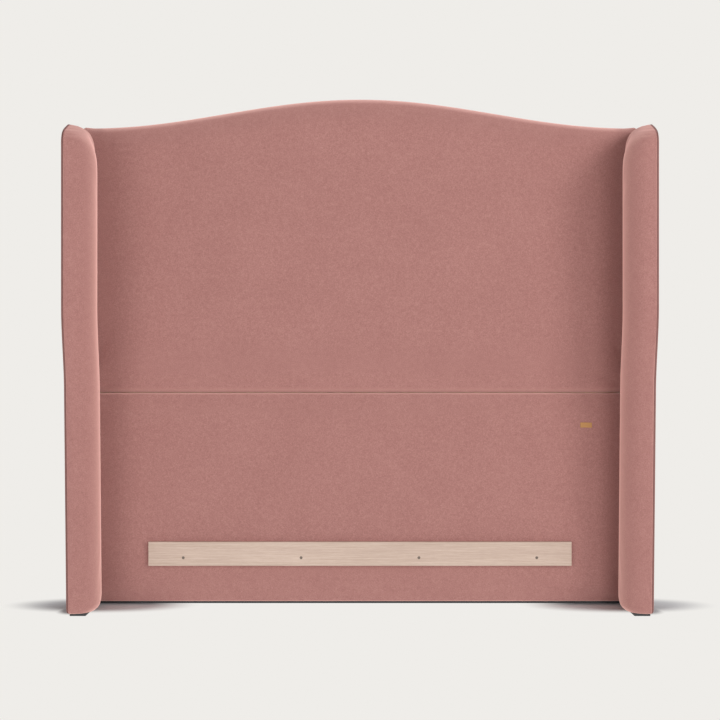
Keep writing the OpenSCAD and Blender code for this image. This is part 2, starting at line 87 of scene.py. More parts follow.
panel = {
    "archRise": 80 * mm,
    "shoulderFlat": 18 * mm,
    "topRoll": 50 * mm,       # how far the rolled top edge reaches down the front
    "topDepth": 44 * mm,      # and how far back
    "backRadius": 4 * mm,
    "sideRoll": 12 * mm,
    "seamRoll": 18 * mm,
    "lowerRoll": 4 * mm,
    "footRoll": 5 * mm,
    "turnIn": 22 * mm,        # width of the velvet turned over the back
    "upperPuff": 3.5 * mm,
    "lowerPuff": 1.5 * mm,
    "cell": 9 * mm,
    "cornerCells": 2,
    "tuck": 45 * mm,          # how far back the covers are tucked at the seam
    "cap": 3.5 * mm,          # the most that filling may swell it
}


def archTop(x):
    # a raised cosine between two level shoulders
    half = panelX - panel["shoulderFlat"]
    swing = np.cos(np.pi * np.minimum(np.abs(x) / half, 1))
    return upperHigh[2] - panel["archRise"] * (1 - swing) / 2


def gridFaces(rows, cols, start=0):
    index = start + np.arange(rows * cols).reshape(rows, cols)
    around = (index[:-1, :-1], index[:-1, 1:], index[1:, 1:], index[1:, :-1])
    return np.stack(around, -1).reshape(-1, 4)


def sewGrids(name, grids, weld=0.15 * mm):
    # grids are (rows, columns, 3) arrays; edges that meet are welded and faces turned outwards
    faces, start = [], 0
    for grid in grids:
        faces.append(gridFaces(grid.shape[0], grid.shape[1], start))
        start += grid.shape[0] * grid.shape[1]
    points = np.concatenate([grid.reshape(-1, 3) for grid in grids])
    mesh = bpy.data.meshes.new(name)
    mesh.from_pydata(points.tolist(), [], np.concatenate(faces).tolist())
    tidyMesh(mesh, weld)
    return placePiece(name, mesh)


def tidyMesh(mesh, weld):
    work = bmesh.new()
    work.from_mesh(mesh)
    bmesh.ops.remove_doubles(work, verts=work.verts, dist=weld)
    bmesh.ops.dissolve_degenerate(work, edges=work.edges, dist=weld / 4)
    bmesh.ops.recalc_face_normals(work, faces=work.faces)
    work.to_mesh(mesh)
    work.free()


def placePiece(name, mesh):
    piece = bpy.data.objects.new(name, mesh)
    bpy.context.scene.collection.objects.link(piece)
    mesh.polygons.foreach_set("use_smooth", np.ones(len(mesh.polygons), bool))
    return piece


def readPoints(mesh):
    points = np.empty(len(mesh.vertices) * 3)
    mesh.vertices.foreach_get("co", points)
    return points.reshape(-1, 3)


def writePoints(mesh, points):
    mesh.vertices.foreach_set("co", points.reshape(-1))
    mesh.update()


def subdivided(piece, levels=1):
    modifier = piece.modifiers.new("fine", "SUBSURF")
    modifier.levels = levels
    modifier.render_levels = levels
    return piece


def bevelledCopy(node, name, width, segments=3):
    # a merged copy of a hard node with its edges eased
    mesh = frame["nodes"][node].data.copy()
    mesh.name = name
    work = bmesh.new()
    work.from_mesh(mesh)
    bmesh.ops.remove_doubles(work, verts=work.verts, dist=0.02 * mm)
    flat = [edge for edge in work.edges if edge.calc_face_angle(1) < 0.01]
    bmesh.ops.dissolve_edges(work, edges=flat, use_verts=False)
    work.to_mesh(mesh)
    work.free()
    piece = placePiece(name, mesh)
    mesh.polygons.foreach_set("use_smooth", np.zeros(len(mesh.polygons), bool))
    modifier = piece.modifiers.new("eased", "BEVEL")
    modifier.width = width
    modifier.segments = segments
    modifier.limit_method = "ANGLE"
    modifier.angle_limit = math.radians(50)
    return piece


filling = {
    "pressure": 4.0,
    "steps": 20,
    "quality": 4,
    "mass": 0.3,
    "stretch": 30,
    "shear": 12,
    "bending": 4,
}


def fill(piece, held, cap):
    # swells a cover as cloth over its filling; held says which points are sewn down
    points = readPoints(piece.data)
    group = piece.vertex_groups.new(name="sewn")
    for weight in (1.0, 0.5):
        chosen = np.nonzero((held > weight - 0.25) & (held <= weight + 0.25))[0]
        group.add([int(i) for i in chosen], weight, "REPLACE")
    cloth = piece.modifiers.new("filling", "CLOTH")
    settings = cloth.settings
    settings.quality = filling["quality"]
    settings.mass = filling["mass"]
    settings.tension_stiffness = filling["stretch"]
    settings.compression_stiffness = filling["stretch"]
    settings.shear_stiffness = filling["shear"]
    settings.bending_stiffness = filling["bending"]
    settings.use_pressure = True
    settings.uniform_pressure_force = filling["pressure"]
    settings.vertex_group_mass = "sewn"
    settings.effector_weights.gravity = 0
    cloth.collision_settings.use_collision = False
    cloth.point_cache.frame_end = filling["steps"]
    scene = bpy.context.scene
    for step in range(1, filling["steps"] + 1):
        scene.frame_set(step)
    evaluated = piece.evaluated_get(bpy.context.evaluated_depsgraph_get())
    moved = readPoints(evaluated.data) - points
    piece.modifiers.remove(cloth)
    scene.frame_set(1)
    length = np.linalg.norm(moved, axis=1, keepdims=True)
    limited = moved * (cap * np.tanh(length / cap) / np.maximum(length, 1e-9))
    writePoints(piece.data, points + limited)
    print("filled", piece.name, "most", round(float(length.max()) / mm, 1), "mm")
    return piece


def turn(profile, a0, a1, count, across, deep):
    # adds an elliptical quarter to a profile of (outwards, backwards) points
    start = profile[-1]
    angle = np.linspace(a0, a1, count + 1)[1:]
    out = across * (np.sin(angle) - math.sin(a0))
    back = -deep * (np.cos(angle) - math.cos(a0))
    return profile + [(start[0] + o, start[1] + b) for o, b in zip(out, back)]


def straight(profile, count, out, back):
    start = profile[-1]
    return profile + [(start[0] + out * i / count, start[1] + back * i / count)
                      for i in range(1, count + 1)]


def edgeProfile(roll, depth, turnIn):
    # front roll, straight edge, small back corner and the velvet turned over the back
    thick = backY - faceY
    small = panel["backRadius"]
    profile = turn([(0.0, 0.0)], 0, math.pi / 2, 12, roll, depth)
    profile = straight(profile, 5, 0, thick - depth - small)
    profile = turn(profile, math.pi / 2, math.pi, 5, small, small)
    return np.array(straight(profile, 3, -turnIn, 0))


def tuckProfile(roll, rows):
    # rolled under at the seam, then straight back between the boards
    profile = turn([(0.0, 0.0)], 0, math.pi / 2, 12, roll, roll)
    return np.array(straight(profile, rows - 13, 0, panel["tuck"]))


def cornerRamp(count):
    # -1 at the first point, +1 at the last, easing to 0 within the corner's first cells
    t = 1 - smooth(np.arange(count) / panel["cornerCells"])
    return t[::-1] - t


def rimmedCover(name, bottomZ, topZ, bottomProfile, topProfile, rolls, puff):
    # A front face on a grid, with a rim carried round its edge: each rim row moves outwards and
    # backwards by its edge's own profile, and corners use both neighbours' profiles.
    sideProfile = edgeProfile(panel["sideRoll"], panel["sideRoll"], panel["turnIn"])
    halfX = panelX - panel["sideRoll"]
    cols = int(2 * halfX / panel["cell"])
    rows = int((topZ(0) - bottomZ) / panel["cell"])
    u = np.linspace(-1, 1, cols)
    v = np.linspace(0, 1, rows)[:, None]
    x = np.broadcast_to(u * halfX, (rows, cols))
    low = bottomZ + rolls[0]
    high = topZ(x) - rolls[1]
    z = low + v * (high - low)
    y = faceY - puff(x, z) * (1 - smooth((np.abs(x) - 0.66) / 0.06))
    front = np.stack([x, y, z], -1)

    acrossX, alongZ = cornerRamp(cols), cornerRamp(rows)
    ring = np.concatenate([front[0], front[1:, -1], front[-1, -2::-1], front[-2::-1, 0]])
    pushX = np.concatenate([acrossX, np.ones(rows - 1), acrossX[-2::-1], -np.ones(rows - 1)])
    pushZ = np.concatenate([-np.ones(cols), alongZ[1:], np.ones(cols - 1), alongZ[-2::-1]])
    ends = np.where(pushZ[None, :] < 0, bottomProfile[:, :1], topProfile[:, :1])
    backs = np.where(pushZ[None, :] < 0, bottomProfile[:, 1:], topProfile[:, 1:])
    weightX, weightZ = pushX ** 2, pushZ ** 2 * (1 - pushX ** 2)
    total = weightX + weightZ
    rim = np.empty((len(sideProfile), len(ring), 3))
    rim[..., 0] = ring[:, 0] + pushX * sideProfile[:, :1]
    rim[..., 2] = ring[:, 2] + pushZ * ends
    rim[..., 1] = (sideProfile[:, 1:] * weightX + backs * weightZ) / total
    rim[..., 1] += ring[:, 1] * (1 - np.linspace(0, 1, len(rim))[:, None]) \
        + faceY * np.linspace(0, 1, len(rim))[:, None]
    piece = sewGrids(name, [front, rim])
    points = readPoints(piece.data)
    behind = (points[:, 1] - faceY) / (backY - faceY)
    fill(piece, np.where(behind > 0.14, 1.0, 0.0), panel["cap"])
    return subdivided(piece)


def upperPuff(x, z):
    # fullest just above the seam, fading upwards
    rise = np.maximum(z - seamZ, 0)
    return panel["upperPuff"] * (0.45 + 0.55 * np.exp(-(rise / 0.12) ** 2))


def lowerPuff(x, z):
    return panel["lowerPuff"] * smooth((z - floorGap) / 0.06) * smooth((seamZ - z) / 0.05)


def makePanelCovers():
    edge = edgeProfile(panel["topRoll"], panel["topDepth"], panel["turnIn"])
    tuckUpper = tuckProfile(panel["seamRoll"], len(edge))
    tuckLower = tuckProfile(panel["lowerRoll"], len(edge))
    foot = edgeProfile(panel["footRoll"], panel["footRoll"], panel["turnIn"])
    upper = rimmedCover("upperCover", seamZ + 0.8 * mm, archTop, tuckUpper, edge,
                        (panel["seamRoll"], panel["topRoll"]), upperPuff)
    lower = rimmedCover("lowerCover", floorGap, lambda x: seamZ - 0.8 * mm + 0 * x, foot, tuckLower,
                        (panel["footRoll"], panel["lowerRoll"]), lowerPuff)
    finish(upper, "velvet", "upper_cover", "upper_foam")
    finish(lower, "velvet", "lower_cover", "lower_foam")
    return lower


def finish(piece, slot, *nodes):
    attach(piece, root)
    if nodes:
        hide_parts(*nodes)
    piece.data.materials.clear()
    piece.data.materials.append(materials[slot])


wing = {
    "reachTop": faceY - wingLow[1],
    "reachMid": 204 * mm,
    "reachFoot": 178 * mm,
    "bend": 230 * mm,         # height of the front edge's S-curve above the seam
    "tipD": 140 * mm,         # how far the tip stands in front of the panel
    "slope": 38 * mm,         # the nose's drop over its slope
    "turn": 28 * mm,          # and over its front corner
    "fall": 11 * mm,          # how far the ridge drops from the crease to the tip
    "fullSpan": 170 * mm,     # rows shorter than this have their columns drawn together
    "full": 76.6 * mm,        # the padding where it is thickest
    "wall": 16 * mm,          # the level part beside the outer seam
    "thickest": 66 * mm,      # how far behind the front edge that is
    "rearSlope": 0.21,        # it thins by this much towards the crease
    "rearSoft": 14 * mm,
    "columnReach": 200 * mm,  # how far behind the front seam the last free column stands
    "crest": 130 * mm,        # how far down the ridge's rounding reaches
    "crestPower": 2.3,
    "footRound": (23 * mm, 24 * mm),
    "frontRound": (7 * mm, 14 * mm),
    # each wrinkle's height, depth, half width and reach across
    "wrinkles": [(1.279, 2.4 * mm, 3.0 * mm, 0.6), (1.272, -1.4 * mm, 3.0 * mm, 0.6),
                 (1.258, 1.2 * mm, 3.5 * mm, 0.4), (1.240, 1.0 * mm, 4.5 * mm, 0.4)],
    "seamLift": 6.5 * mm,     # how far the seam drifts outwards at the tip
    "groove": (5 * mm, 5 * mm),   # width and depth of the dip at the seam
    "sidePuff": 26 * mm,      # how far in from its seam the side cover is full
    "sideBack": (3 * mm, 30 * mm),   # how far its front edge stands back, and over what length
    "row": 7 * mm,
    "cap": 1.5 * mm,
}
creaseD = -2 * mm


def reach(z):
    # how far the wing's front edge stands in front of the panel: a taper, an S-curve, then upright
    foot, middle, top = wing["reachFoot"], wing["reachMid"], wing["reachTop"]
    taper = foot + (middle - foot) * (z - floorGap) / (seamZ - floorGap)
    curve = middle + (top - middle) * smooth((z - seamZ) / wing["bend"])
    return np.where(z < seamZ, taper, curve)


def frontEdge():
    # The front seam in side view, from the foot up: straight and bent part, then the sloping nose,
    # whose drop below the tip is a gentle slope plus a term that turns it upright at the front.
    tipZ = wingHigh[2] - wing["fall"]
    noseZ = tipZ - wing["slope"] - wing["turn"]
    low = floorGap + np.array([0, 0.8, 2, 4, 6.5, 9.5, 13, 17]) * mm
    z = np.concatenate([low, np.linspace(low[-1], noseZ, int((noseZ - low[-1]) / wing["row"]))[1:-1]])
    t = 1 - np.linspace(0, 1, 26) ** 2
    noseD = wing["tipD"] + (wing["reachTop"] - wing["tipD"]) * t
    noseDrop = wing["slope"] * t ** 1.1 + wing["turn"] * (1 - np.sqrt(1 - t ** 8))
    return np.concatenate([reach(z), noseD]), np.concatenate([z, tipZ - noseDrop])


def sidePlan(ahead):
    # The wing in side view as a patch of (depth, height) between its four edges: the crease, the
    # foot, the front seam and the ridge. Each row runs from its front point back to the crease,
    # and ahead holds the columns' distances behind the front seam, the last being the crease.
    # The patch is the blend across plus the blend upwards, less the blend of its four corners.
    frontD, frontZ = frontEdge()
    tall = frontZ[-1] - floorGap
    length = np.concatenate([[0], np.cumsum(np.hypot(np.diff(frontD), np.diff(frontZ)))])
    up = (0.5 * length / length[-1] + 0.5 * (frontZ - floorGap) / tall)[:, None]
    span = frontD[:, None] - creaseD
    near = ahead[None, :] * np.minimum(1, span / wing["fullSpan"])
    forward = 1 - near / span
    forward[:, -1] = 0
    creaseZ = floorGap + (wingHigh[2] - floorGap) * up
    ridgeZ = wingHigh[2] - wing["fall"] * smooth(forward)
    footD = creaseD + (frontD[0] - creaseD) * forward
    ridgeD = creaseD + (frontD[-1] - creaseD) * forward
    depth = (1 - forward) * creaseD + forward * frontD[:, None] + (1 - up) * footD + up * ridgeD \
        - (1 - up) * ((1 - forward) * creaseD + forward * frontD[0]) \
        - up * ((1 - forward) * creaseD + forward * frontD[-1])
    z = (1 - forward) * creaseZ + forward * frontZ[:, None] + (1 - up) * floorGap + up * ridgeZ \
        - (1 - up) * floorGap - up * ((1 - forward) * wingHigh[2] + forward * frontZ[-1])
    ridge = wingHigh[2] - wing["fall"] * smooth(depth / frontD[-1])
    return depth, z, ridge


def footEase(z, width, height):
    # how far an edge near the floor draws in, as a quarter ellipse
    t = np.clip(1 - (z - floorGap) / height, 0, 1)
    return width * (1 - np.sqrt(1 - t * t))


def seamX(depth, z):
    # the outer seam runs straight up, then drifts out to the tip
    return panelX + wing["seamLift"] * smooth((z - 1.215) / 0.085)


def wingCover(side):
    # Across the wing: level beside the outer seam, a quarter circle round the front to where the
    # padding is thickest, then a soft slope that thins it back to the crease. The crest's
    # superellipse and a rounding at the foot scale that down.
    full, wall, crestPower = wing["full"], wing["wall"], wing["crestPower"]
    radius = full - wall
    angle = np.linspace(0, np.pi / 2, 17)
    level = np.array([0, 0.6, 1.4, 2.4, 3.6, 6, 9, 12.5]) * mm
    rear = radius + (wing["columnReach"] - radius) * np.linspace(0, 1, 20)[1:]
    across = np.concatenate([level, wall + radius * np.sin(angle), np.full(len(rear), full)])
    ahead = np.concatenate([0.02 * level, 0.3 * mm + radius * (1 - np.cos(angle)), rear])
    depth, z, ridge = sidePlan(ahead)
    back = depth[:, :1] - depth
    over = (back - wing["thickest"]) / wing["rearSoft"]
    thin = wing["rearSlope"] * wing["rearSoft"] * np.logaddexp(0, over)
    below = np.maximum(ridge - z, 0)
    crest = (1 - np.clip(1 - below / wing["crest"], 0, 1) ** crestPower) ** (1 / crestPower)
    share = across / full
    thick = (across - thin * share - footEase(z, *wing["footRound"]) * share ** 2) * crest
    ease = footEase(z, *wing["frontRound"])
    seam = seamX(depth, z)
    near = np.clip(1 - thick / wing["groove"][0], 0, 1)
    dip = wing["groove"][1] * (1 - np.sqrt(1 - near ** 2))
    forward = np.clip(1 - back / radius, 0, 1) ** 0.5
    # small wrinkles across the nose, fading inwards
    wrinkle = 0
    for height, size, width, spread in wing["wrinkles"]:
        bend = z - height - 0.4 * (share - 0.3) * width
        wrinkle = wrinkle + size * np.exp(-(bend / width) ** 2) * np.exp(-((share - 0.35) / spread) ** 4)
    y = faceY - depth + (ease + dip + wrinkle) * forward
    inside = np.stack([seam - thick, y, z], -1)

    k = np.linspace(0, 1, 6)[:, None]
    under = np.repeat(inside[:1], 6, 0)
    under[..., 0] += (panelX - 1 * mm - under[..., 0]) * k
    behind = np.repeat(inside[:, -1:], 6, 1)
    behind[..., 0] += (seam[:, -1:] - behind[..., 0]) * k.T
    grids = [inside, under, behind]
    for grid in grids:
        grid[..., 0] *= sides[side]
    piece = sewGrids(side + "WingCover", grids)
    points = readPoints(piece.data)
    x = np.abs(points[:, 0])
    sewn = (x > panelX - 2 * mm) | (points[:, 1] > faceY - 1 * mm) | (points[:, 2] < floorGap + 1 * mm)
    fill(piece, np.where(sewn, 1.0, 0.0), wing["cap"])
    subdivided(piece)
    finish(piece, "velvet", side + "_wing_cover", side + "_wing_foam")


def sideCover(side):
    # The outer side: a shallow pillow that rises from its seam all round
    edge = np.array([0, 0.6, 1.6, 3, 5, 8, 12, 17, 22]) * mm
    depth, z, ridge = sidePlan(np.concatenate([edge, np.linspace(28 * mm, wing["columnReach"], 24)]))
    seam = seamX(depth, z) + 0.2 * mm
    gap = np.minimum(np.minimum(depth[:, :1] - depth, ridge - z), np.minimum(z - z[:1], depth - creaseD))
    rise = np.sqrt(1 - (1 - np.clip(gap / wing["sidePuff"], 0, 1)) ** 2)
    x = seam + (sideHigh[0] + 0.6 * mm - seam) * rise
    most, over = wing["sideBack"]
    setBack = most * np.clip(1 - (depth[:, :1] - depth) / over, 0, 1)
    y = faceY - depth + setBack + footEase(z, *wing["frontRound"]) * (depth / depth[:, :1])
    outer = np.stack([x, y, z], -1)
    inner = np.stack([seam - 0.2 * mm - 0.5 * mm * rise, y, z], -1)
    for grid in (outer, inner):
        grid[..., 0] *= sides[side]
    piece = sewGrids(side + "SideCover", [outer, inner])
    subdivided(piece)
    finish(piece, "velvet", side + "_wing_side_cover", side + "_wing_wadding")


def makeHardPieces():
    finish(bevelledCopy("fixing_batten", "batten", 1.6 * mm), "pale_oak", "fixing_batten")
    finish(bevelledCopy("base_strip", "baseStrip", 0.8 * mm), "black_plastic", "base_strip")
    for side in sides:
        finish(bevelledCopy(side + "_wing_strip", side + "WingStrip", 0.8 * mm), "black_plastic",
               side + "_wing_strip")


def makeTag(cover):
    # a folded woven tape, sewn on along its upper edge and standing a little proud below
    low, high = corners("blank_tag")
    points = readPoints(cover.data)
    near = (np.abs(points[:, ::2] - (low + high)[::2] / 2) < 30 * mm).all(1)
    restY = points[near, 1].min()
    u = np.linspace(0, 1, 17)[None, :]
    v = np.linspace(0, 1, 15)[:, None]
    x = low[0] + (high[0] - low[0]) * u + 0 * v
    z = low[2] + (high[2] - low[2]) * v + 0.25 * mm * np.sin(5 * u)
    lift = 1.0 * mm + 1.2 * mm * (1 - v) ** 1.5 + 0.25 * mm * np.sin(4 * np.pi * u) * (1 - v)
    front = np.stack([x, restY - lift, z], -1)
    back = front + np.array([0, 0.7 * mm, 0])
    rimU = [np.stack([front[0], back[0]]), np.stack([front[-1], back[-1]]),
            np.stack([front[:, 0], back[:, 0]]), np.stack([front[:, -1], back[:, -1]])]
    piece = sewGrids("blankTag", [front, back] + rimU, weld=0.02 * mm)
    finish(piece, "tag", "blank_tag")


def makeLining():
    # black cloth over the back, a little slack between its staples, with a folded hem
    low, high = corners("back_lining")
    half = high[0]
    cell = 11 * mm
    cols, rows = int(2 * half / cell), int((high[2] - low[2]) / cell)
    x = np.broadcast_to(np.linspace(-half, half, cols), (rows, cols))
    v = np.linspace(0, 1, rows)[:, None]
    top = archTop(x) - (cadBox[1][2] - high[2])
    z = low[2] + v * (top - low[2])
    edge = np.minimum(np.minimum(half - np.abs(x), z - low[2]), top - z)
    ripple = np.sin(x * 48.3) * np.exp(-np.minimum(z - low[2], top - z) / 0.05)
    ripple = ripple + np.sin(z * 48.3) * np.exp(-(half - np.abs(x)) / 0.05)
    sag = 0.5 * mm * ripple * smooth(edge / 0.02) + 0.8 * mm * smooth(edge / 0.25)
    y = high[1] - 0.2 * mm - sag + 0.5 * mm * (edge < 14 * mm)
    sheet = np.stack([x, y, z], -1)
    piece = sewGrids("backLining", [sheet])
    thickness = piece.modifiers.new("cloth", "SOLIDIFY")
    thickness.thickness = 0.6 * mm
    thickness.offset = 0
    finish(piece, "lining", "back_lining")
    float(np.trapz(top[0] - low[2], x[0]))


class Signal:
    # one socket of a material's tree; arithmetic on it adds Math nodes
    def __init__(self, cloth, socket):
        self.cloth = cloth
        self.socket = socket

    def combine(self, operation, first, second):
        return self.cloth.add("ShaderNodeMath", {"operation": operation}, {0: first, 1: second})

    def __add__(self, other):
        return self.combine("ADD", self, other)

    def __sub__(self, other):
        return self.combine("SUBTRACT", self, other)

    def __mul__(self, other):
        return self.combine("MULTIPLY", self, other)

    def __rsub__(self, other):
        return self.combine("SUBTRACT", other, self)

    def __truediv__(self, other):
        return self.combine("DIVIDE", self, other)

    def __pow__(self, other):
        return self.combine("POWER", self, other)

    def __rtruediv__(self, other):
        return self.combine("DIVIDE", other, self)

    def __rpow__(self, other):
        return self.combine("POWER", other, self)

    __radd__ = __add__
    __rmul__ = __mul__


class Finish:
    # a material under construction
    def __init__(self, name):
        self.material = bpy.data.materials.new(name)
        self.material.use_nodes = True
        self.tree = self.material.node_tree
        self.shader = self.tree.nodes["Principled BSDF"]

    def add(self, kind, settings=None, inputs=None, output=0):
        node = self.tree.nodes.new(kind)
        for key, value in (settings or {}).items():
            if key == "stops":
                self.setStops(node.color_ramp, value)
            else:
                setattr(node, key, value)
        for key, value in (inputs or {}).items():
            self.feed(node.inputs[key], value)
        return Signal(self, node.outputs[output])

    def setStops(self, ramp, stops):
        while len(ramp.elements) < len(stops):
            ramp.elements.new(0.5)
        for element, (place, colour) in zip(ramp.elements, stops):
            element.position = place
            element.color = (*colour, 1)

    def feed(self, socket, value):
        if isinstance(value, Signal):
            self.tree.links.new(value.socket, socket)
        else:
            socket.default_value = value

    def place(self, scale=(1, 1, 1)):
        coordinates = self.add("ShaderNodeTexCoord", output="Object")
        return self.add("ShaderNodeMapping", {}, {"Vector": coordinates, "Scale": scale})

    def noise(self, where, scale, detail=2.0, roughness=0.5):
        return self.add("ShaderNodeTexNoise", {}, {"Vector": where, "Scale": scale, "Detail": detail,
                                                   "Roughness": roughness})

    def blend(self, factor, first, second, kind="MIX"):
        return self.add("ShaderNodeMix", {"data_type": "RGBA", "blend_type": kind},
                        {0: factor, 6: first, 7: second}, output=2)

    def pick(self, operation, first, second):
        return self.add("ShaderNodeMath", {"operation": operation}, {0: first, 1: second})

    def step(self, value, start, end):
        return self.add("ShaderNodeMapRange", {"interpolation_type": "SMOOTHSTEP"},
                        {"Value": value, "From Min": float(start), "From Max": float(end)})

    def oval(self, x, y, halfX, halfY):
        # distance from an ellipse's centre, 1 on its edge
        return ((x / halfX) ** 2 + (y / halfY) ** 2) ** 0.5

    def bump(self, height, strength, distance):
        return self.add("ShaderNodeBump", {}, {"Height": height, "Strength": strength,
                                               "Distance": distance})

    def shade(self, **values):
        for key, value in values.items():
            self.feed(self.shader.inputs[key.replace("_", " ")], value)
        return self.material


def colour(r, g, b):
    # a screen colour, 0 to 255, as linear light
    part = np.array([r, g, b]) / 255
    linear = np.where(part <= 0.04045, part / 12.92, ((part + 0.055) / 1.055) ** 2.4)
    return (*[float(c) for c in linear], 1.0)


velvet = {
    "deep": colour(132, 90, 86),
    "mid": colour(150, 107, 102),
    "pale": colour(168, 125, 119),
    "nap": colour(240, 192, 183),
    "napPower": 1.5,
    "napShare": 0.86,
    "cloud": (9, 0.12),       # scale and share of each noise, from coarse to fine
    "mottle": (80, 0.2),
    "pile": (420, 0.68),
    "noseX": (0.697, 0.727),  # where the wings' noses begin, across and up
    "noseZ": (1.24, 1.275),
    "seamShade": 0.4,          # how strongly the painted crevice shade darkens the line along the outer seams
    # the near-black red of that painted crevice shade
    "creviceShade": (0.02, 0.006, 0.006, 1),
    "sideShade": 0.9,          # painted shade: how much of the nap sheen is taken off the outer side, to keep it darker
    "noseShade": 0.35,         # and off the wings' noses, painted shade that keeps them darker
}


def makeVelvet():
    f = Finish("velvet")
    where = f.place()
    cloud = f.noise(where, velvet["cloud"][0], 4, 0.6)
    mottle = f.noise(where, velvet["mottle"][0], 3, 0.55)
    pile = f.noise(where, velvet["pile"][0], 2, 0.6)
    tone = f.add("ShaderNodeValToRGB", {"stops": [(0.25, velvet["deep"][:3]), (0.5, velvet["mid"][:3]),
                                                  (0.75, velvet["pale"][:3])]},
                 {0: cloud * velvet["cloud"][1] + mottle * velvet["mottle"][1] + pile * velvet["pile"][1]})
    bumped = f.bump(pile * 0.6 + mottle * 0.8, 0.25, 0.6 * mm)
    facing = f.add("ShaderNodeLayerWeight", {}, {"Blend": 0.5}, output="Facing")
    nap = f.add("ShaderNodeBsdfDiffuse", {}, {"Color": velvet["nap"], "Roughness": 0.8})
    place = f.add("ShaderNodeSeparateXYZ", {}, {"Vector": f.add("ShaderNodeTexCoord", output="Object")})
    x = f.pick("ABSOLUTE", place, 0.0)
    z = Signal(f, place.socket.node.outputs["Z"])
    # the outer sides, where painted shade takes most of the sheen off
    side = f.step(x, panelX - 2.5 * mm, panelX + 0.5 * mm)
    # the wings' noses, where painted shade takes some of the sheen off
    nose = f.step(x, *velvet["noseX"]) * f.step(z, *velvet["noseZ"])
    # painted crevice shade: a dark band blended into the colour along the outer seams
    seam = f.step(x, panelX - 1 * mm, panelX + 1 * mm) * (1.0 - f.step(x, panelX + 3 * mm, panelX + 6 * mm))
    shaded = f.blend(seam * velvet["seamShade"], tone, velvet["creviceShade"])
    f.shade(Base_Color=shaded, Roughness=0.9 - pile * 0.1, Normal=bumped, Specular_IOR_Level=0.1)
    # painted shade: less nap sheen on the outer sides and the noses, set by position
    flat = (1.0 - side * velvet["sideShade"]) * (1.0 - nose * velvet["noseShade"])
    share = facing ** velvet["napPower"] * velvet["napShare"] * flat
    mixed = f.add("ShaderNodeMixShader", {}, {0: share, 1: Signal(f, f.shader.outputs[0]), 2: nap})
    f.feed(f.tree.nodes["Material Output"].inputs["Surface"], mixed)
    return f.material


def makeOak(name, dark, mid, pale, scale):
    # straight fine grain along the length: long streaks, short pores and a slow change of tone
    f = Finish(name)
    streak = f.noise(f.place((1.6, 90, 90)), 6 * scale, 5, 0.65)
    pore = f.noise(f.place((9, 420, 420)), 7 * scale, 2, 0.6)
    drift = f.noise(f.place((1, 8, 8)), 2 * scale, 2, 0.5)
    mix = streak * 0.45 + pore * 0.35 + drift * 0.2
    stops = [(at, colour(*tone)[:3]) for at, tone in zip((0.34, 0.5, 0.66), (dark, mid, pale))]
    tone = f.add("ShaderNodeValToRGB", {"stops": stops}, {0: mix})
    return f.shade(Base_Color=tone, Roughness=0.5 + pore * 0.2,
                   Normal=f.bump(pore * 0.7 + streak * 0.3, 0.3, 0.4 * mm))


def makePlain(name, tone, rough, scale, metallic=0.0, spread=0.25, depth=0.15):
    f = Finish(name)
    where = f.place()
    speck = f.noise(where, scale, 4, 0.6)
    wear = f.noise(where, scale / 12, 3, 0.5)
    dark = tuple(c * (1 - spread) for c in tone[:3])
    pale = tuple(min(c * (1 + spread), 1) for c in tone[:3])
    base = f.add("ShaderNodeValToRGB", {"stops": [(0.3, dark), (0.7, pale)]}, {0: speck * 0.6 + wear * 0.4})
    return f.shade(Base_Color=base, Roughness=rough + 0.12 * speck, Metallic=metallic,
                   Normal=f.bump(speck, depth, 0.3 * mm))


def makeWoven(name, dark, pale, pitch):
    # a plain weave: warp and weft threads from two wave patterns
    f = Finish(name)
    where = f.place()
    warp = f.add("ShaderNodeTexWave", {"bands_direction": "X"}, {"Vector": where, "Scale": 1 / pitch / 6.3})
    weft = f.add("ShaderNodeTexWave", {"bands_direction": "Z"}, {"Vector": where, "Scale": 1 / pitch / 6.3})
    fuzz = f.noise(where, 1500, 2)
    height = warp * 0.5 + weft * 0.5
    base = f.add("ShaderNodeValToRGB", {"stops": [(0.2, dark[:3]), (0.8, pale[:3])]},
                 {0: height * 0.7 + fuzz * 0.3})
    return f.shade(Base_Color=base, Roughness=0.85 + 0.1 * fuzz, Normal=f.bump(height, 0.4, 0.3 * mm))


print("materials")
materials = {
    "velvet": makeVelvet(),
    "pale_oak": makeOak("pale_oak", (157, 135, 120), (176, 155, 141), (194, 174, 161), 1.0),
    "softwood": makeOak("softwood", (190, 150, 100), (214, 178, 128), (228, 198, 152), 0.8),
    "plywood": makeOak("plywood", (180, 142, 98), (206, 170, 124), (220, 188, 146), 1.3),
    "foam": makePlain("foam", colour(236, 226, 178), 0.9, 600),
    "lining": makeWoven("lining", colour(16, 16, 17), colour(34, 34, 36), 1.4 * mm),
    "black_plastic": makePlain("black_plastic", colour(30, 31, 32), 0.55, 500),
    "zinc": makePlain("zinc", colour(104, 92, 84), 0.42, 300, metallic=0.6),
    "tag": makeWoven("tag", colour(156, 112, 64), colour(184, 139, 90), 0.8 * mm),
}

print("frame nodes")
for entry in frame["record"]["subparts"]:
    node = frame["nodes"][entry["node"]]
    node.data.materials.clear()
    node.data.materials.append(materials[entry["material_slot"]])

print("covers")
lowerCover = makePanelCovers()
for side in sides:
    wingCover(side)
    sideCover(side)
print("hard pieces")
makeHardPieces()
makeTag(lowerCover)
makeLining()


